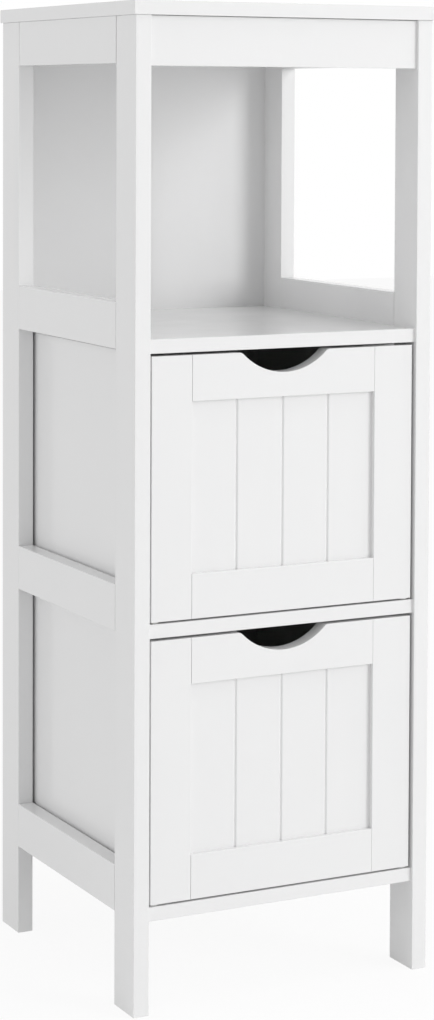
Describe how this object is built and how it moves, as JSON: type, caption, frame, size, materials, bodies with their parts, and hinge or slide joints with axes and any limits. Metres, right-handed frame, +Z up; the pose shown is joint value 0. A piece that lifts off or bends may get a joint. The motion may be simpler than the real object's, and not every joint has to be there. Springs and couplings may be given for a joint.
{
  "type": "bathroom cabinet",
  "caption": "Slim free-standing white cabinet with open side frames, an open shelf bay under a flat top, and panelled box drawers with scooped finger pulls, on square legs.",
  "frame": {"origin": "on the floor, below the middle of the cabinet's plan", "axes": "+Z up, -Y to the front where the drawers open, +X to the right as seen from the front"},
  "size_m": [0.304, 0.304, 0.89],
  "materials": {
    "white_paint": "satin white paint on board",
    "white_hardboard": "thin hardboard, white-coated on the face that shows",
    "beech": "bare beech",
    "zinc": "die-cast zinc",
    "steel": "bright zinc-plated steel",
    "glide_plastic": "pale moulded plastic"
  },
  "bodies": {
    "cabinet": {"top_board": "white_paint", "front_left_post": "white_paint", "front_right_post": "white_paint", "rear_left_post": "white_paint", "rear_right_post": "white_paint", "left_top_rail": "white_paint", "left_shelf_rail": "white_paint", "left_middle_rail": "white_paint", "left_bottom_rail": "white_paint", "right_top_rail": "white_paint", "right_shelf_rail": "white_paint", "right_middle_rail": "white_paint", "right_bottom_rail": "white_paint", "front_apron": "white_paint", "shelf_board": "white_paint", "divider_board": "white_paint", "bottom_board": "white_paint", "back_panel": "white_hardboard", "left_frame_dowels": "beech", "right_frame_dowels": "beech", "shelf_dowels": "beech", "divider_dowels": "beech", "bottom_dowels": "beech", "top_dowels": "beech", "apron_dowels": "beech", "shelf_cams": "zinc", "divider_cams": "zinc", "bottom_cams": "zinc", "top_cams": "zinc", "apron_cams": "zinc", "shelf_cam_bolts": "steel", "divider_cam_bolts": "steel", "bottom_cam_bolts": "steel", "top_cam_bolts": "steel", "apron_cam_bolts": "steel", "back_panel_nails": "steel"},
    "upper_drawer": {"upper_drawer_front_left_stile": "white_paint", "upper_drawer_front_right_stile": "white_paint", "upper_drawer_front_top_rail": "white_paint", "upper_drawer_front_bottom_rail": "white_paint", "upper_drawer_front_panel": "white_paint", "upper_drawer_left_side": "white_paint", "upper_drawer_right_side": "white_paint", "upper_drawer_back": "white_paint", "upper_drawer_bottom": "white_hardboard", "upper_drawer_dowels": "beech", "upper_drawer_glides": "glide_plastic"},
    "lower_drawer": {"lower_drawer_front_left_stile": "white_paint", "lower_drawer_front_right_stile": "white_paint", "lower_drawer_front_top_rail": "white_paint", "lower_drawer_front_bottom_rail": "white_paint", "lower_drawer_front_panel": "white_paint", "lower_drawer_left_side": "white_paint", "lower_drawer_right_side": "white_paint", "lower_drawer_back": "white_paint", "lower_drawer_bottom": "white_hardboard", "lower_drawer_dowels": "beech", "lower_drawer_glides": "glide_plastic"}
  },
  "joints": [
    {"name": "upper_drawer_slide", "type": "slide", "parent": "cabinet", "child": "upper_drawer", "axis": [0, -1, 0], "range_m": [0, 0.2]},
    {"name": "lower_drawer_slide", "type": "slide", "parent": "cabinet", "child": "lower_drawer", "axis": [0, -1, 0], "range_m": [0, 0.2]}
  ]
}
